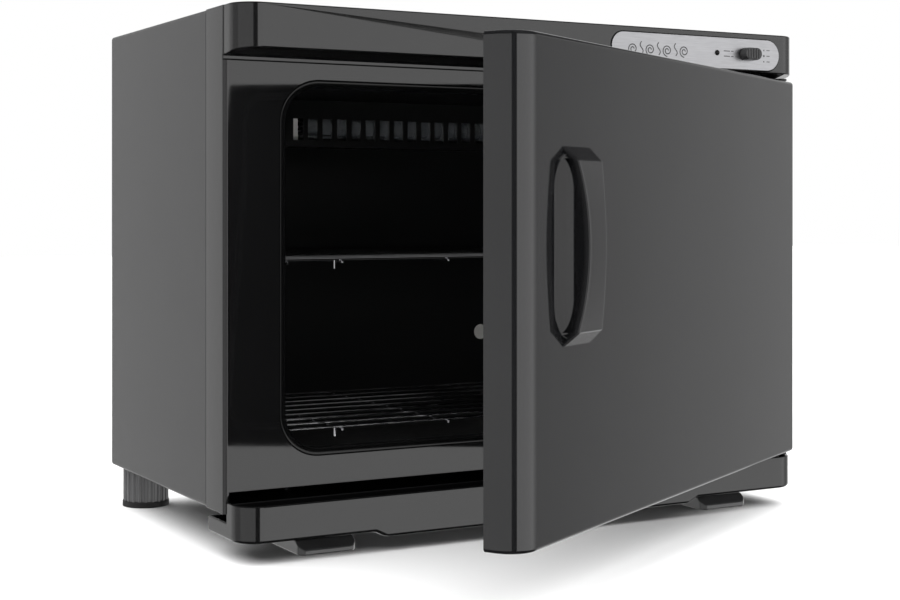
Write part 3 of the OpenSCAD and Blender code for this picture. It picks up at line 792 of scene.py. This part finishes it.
def make_lamp():
    lamp = box("uv_lamp")
    r = 7.8
    middle = (lamp.x0 + lamp.x1) / 2
    half = (lamp.x1 - lamp.x0) / 2 - 6

    def ring(x, radius):
        turns = [tau * i / 32 for i in range(32)]
        return [(middle + x, lamp.y + radius * cos(t), lamp.z + radius * sin(t)) for t in turns]

    tube = loft("uv_lamp_tube", [ring(-half + 8, r), ring(half - 8, r)])
    place(tube, "cabinet", "tube_glass", "uv_lamp")
    caps = []
    for s in (-1, 1):
        sleeve = [(half - 10, r - 0.4), (half - 10, r + 0.1), (half - 0.8, r + 0.1)]
        sleeve += [(half, r - 0.6), (half, 2)]
        caps.append([ring(s * x, radius) for x, radius in sleeve])
        for offset in (-2.4, 2.4):
            pin = [(middle + s * (half + x), lamp.y, lamp.z + offset) for x in (-1, 3, 6)]
            caps.append(wire(pin, 1.0, 32))
    return place(lofts("uv_lamp_caps", caps), "cabinet", "bright_sheet")


# ---- studio ----

# Brightness of the studio around the cabinet, by compass bearing in degrees from +X
STUDIO = [
    (0, 0.33), (3, 0.34), (11, 0.5), (30, 1.0), (95, 0.8), (106, 0.64), (118, 0.68), (132, 0.6),
    (147, 0.5), (150, 0.33), (177, 0.33), (179, 0.52), (245, 0.52), (247, 0.04), (264, 0.04),
    (266, 1.0), (300, 1.05), (330, 1.1), (345, 0.6), (355, 0.4)
]


# Share of that brightness, by how far up or down a direction points, from -1 to 1
STUDIO_LEVELS = [(-0.62, 0.02), (-0.5, 1), (0.28, 1), (0.42, 0.1)]
STUDIO_FLOOR = 0.02
STUDIO_CEILING = 0.1
STUDIO_BEHIND = 0.52


def make_world():
    world = bpy.data.worlds.new("studio")
    bpy.context.scene.world = world
    world.use_nodes = True
    nodes = world.node_tree.nodes
    links = world.node_tree.links
    nodes.clear()
    direction = nodes.new("ShaderNodeTexCoord")
    parts = nodes.new("ShaderNodeSeparateXYZ")
    links.new(direction.outputs["Generated"], parts.inputs[0])
    bearing = nodes.new("ShaderNodeMath")
    bearing.operation = "ARCTAN2"
    links.new(parts.outputs["Y"], bearing.inputs[0])
    links.new(parts.outputs["X"], bearing.inputs[1])
    share = nodes.new("ShaderNodeMapRange")
    share.inputs["From Min"].default_value = -pi
    share.inputs["From Max"].default_value = pi
    links.new(bearing.outputs[0], share.inputs["Value"])
    panels = nodes.new("ShaderNodeValToRGB")
    links.new(share.outputs["Result"], panels.inputs["Fac"])
    ramp = panels.color_ramp
    for end in (0, 1):
        ramp.elements[end].position = end
        ramp.elements[end].color = (STUDIO_BEHIND, STUDIO_BEHIND, STUDIO_BEHIND, 1)
    for degree, value in STUDIO:
        stop = ramp.elements.new((degree + 180) % 360 / 360)
        stop.color = (value, value, value, 1)
    level = nodes.new("ShaderNodeMapRange")
    level.inputs["From Min"].default_value = -1
    level.inputs["From Max"].default_value = 1
    links.new(parts.outputs["Z"], level.inputs["Value"])
    height = nodes.new("ShaderNodeValToRGB")
    links.new(level.outputs["Result"], height.inputs["Fac"])
    for end, value in ((0, STUDIO_FLOOR), (1, STUDIO_CEILING)):
        height.color_ramp.elements[end].color = (value, value, value, 1)
    for z, value in STUDIO_LEVELS:
        stop = height.color_ramp.elements.new((z + 1) / 2)
        stop.color = (value, value, value, 1)
    scaled = nodes.new("ShaderNodeMix")
    scaled.data_type = "RGBA"
    scaled.blend_type = "MULTIPLY"
    scaled.inputs["Factor"].default_value = 1
    links.new(panels.outputs["Color"], scaled.inputs["A"])
    links.new(height.outputs["Color"], scaled.inputs["B"])
    room = nodes.new("ShaderNodeBackground")
    links.new(scaled.outputs["Result"], room.inputs["Color"])
    backdrop = nodes.new("ShaderNodeBackground")
    backdrop.inputs["Color"].default_value = (1, 1, 1, 1)
    path = nodes.new("ShaderNodeLightPath")
    either = nodes.new("ShaderNodeMixShader")
    links.new(path.outputs["Is Camera Ray"], either.inputs["Fac"])
    links.new(room.outputs[0], either.inputs[1])
    links.new(backdrop.outputs[0], either.inputs[2])
    output = nodes.new("ShaderNodeOutputWorld")
    links.new(either.outputs[0], output.inputs["Surface"])


def make_floor():
    size = 6000
    outline = [(-size, -size), (size, -size), (size, size), (-size, size)]
    floor = loft("floor", [at_z(outline, z) for z in (-1, 0)])
    s = Shader("floor_paper", (0.93, 0.93, 0.93), 0.9)
    s.tint(s.noise(2), 0.01)
    floor.data.materials.append(s.material)
    floor.visible_glossy = False


def make_lights():
    """One broad soft light from straight above."""
    data = bpy.data.lights.new("overhead", "SUN")
    data.energy = 7
    data.angle = radians(120)
    light = bpy.data.objects.new("overhead", data)
    bpy.context.scene.collection.objects.link(light)
    light.location = (0, 0, 3)
    light.visible_glossy = False


def make_camera():
    data = bpy.data.cameras.new("camera")
    data.lens = 65.14
    data.sensor_width = 36
    data.shift_y = -0.1043
    camera = bpy.data.objects.new("camera", data)
    bpy.context.scene.collection.objects.link(camera)
    camera.location = (-0.6007, -1.0701, 0.2241)
    camera.rotation_euler = (radians(90), 0, radians(-29.15))
    bpy.context.scene.camera = camera
    bpy.context.scene.view_settings.view_transform = "Standard"


make_camera()
make_world()
make_floor()
make_lights()
dress_cad_nodes()
make_door_shell()
make_handle()
make_inner_panel()
make_gasket()
make_trim()
make_rack("upper_rack")
make_rack("lower_rack")
make_plate()
make_knob()
make_indicator()
make_back_screws()
make_lamp()
